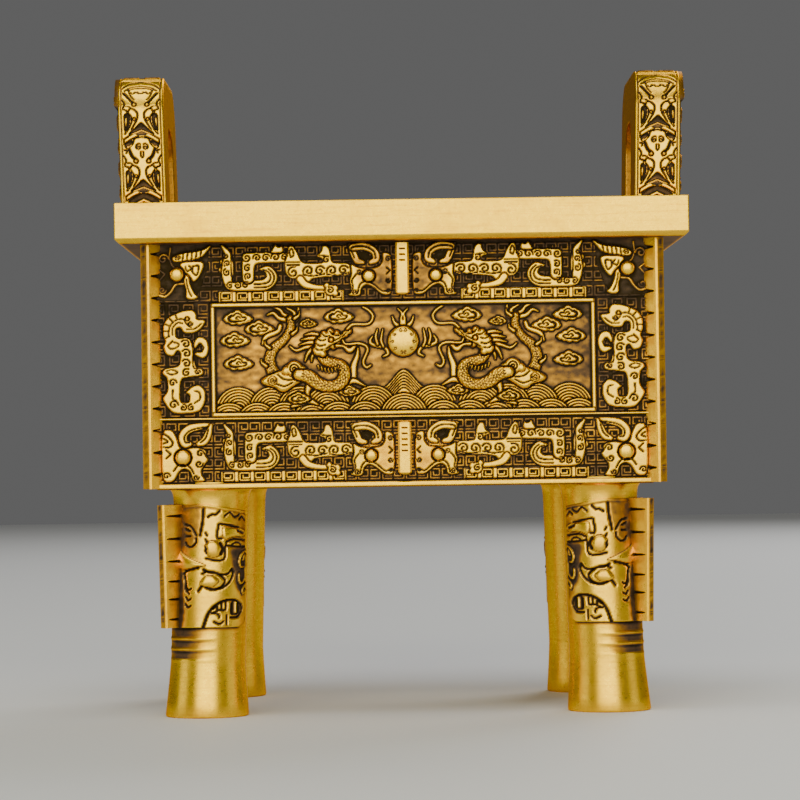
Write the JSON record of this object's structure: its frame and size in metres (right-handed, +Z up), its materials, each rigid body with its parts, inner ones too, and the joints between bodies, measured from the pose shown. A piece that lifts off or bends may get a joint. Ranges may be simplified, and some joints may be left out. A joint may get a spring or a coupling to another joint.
{
  "type": "square incense burner",
  "caption": "Square footed incense burner of cast brass: hollow rectangular basin with relief dragons, plain overhanging rim, upright loop ears and round mask legs.",
  "frame": {"origin": "middle of the footprint, on the surface that the burner stands on", "axes": "+Z up; the long front side that the picture shows faces -Y; the ears stand over the two ends at -X and +X"},
  "size_m": [0.1646, 0.12, 0.1834],
  "materials": {
    "brass": "cast and polished, with dark patina left in the recesses"
  },
  "bodies": {
    "root": {"square_burner": "brass"}
  },
  "joints": []
}
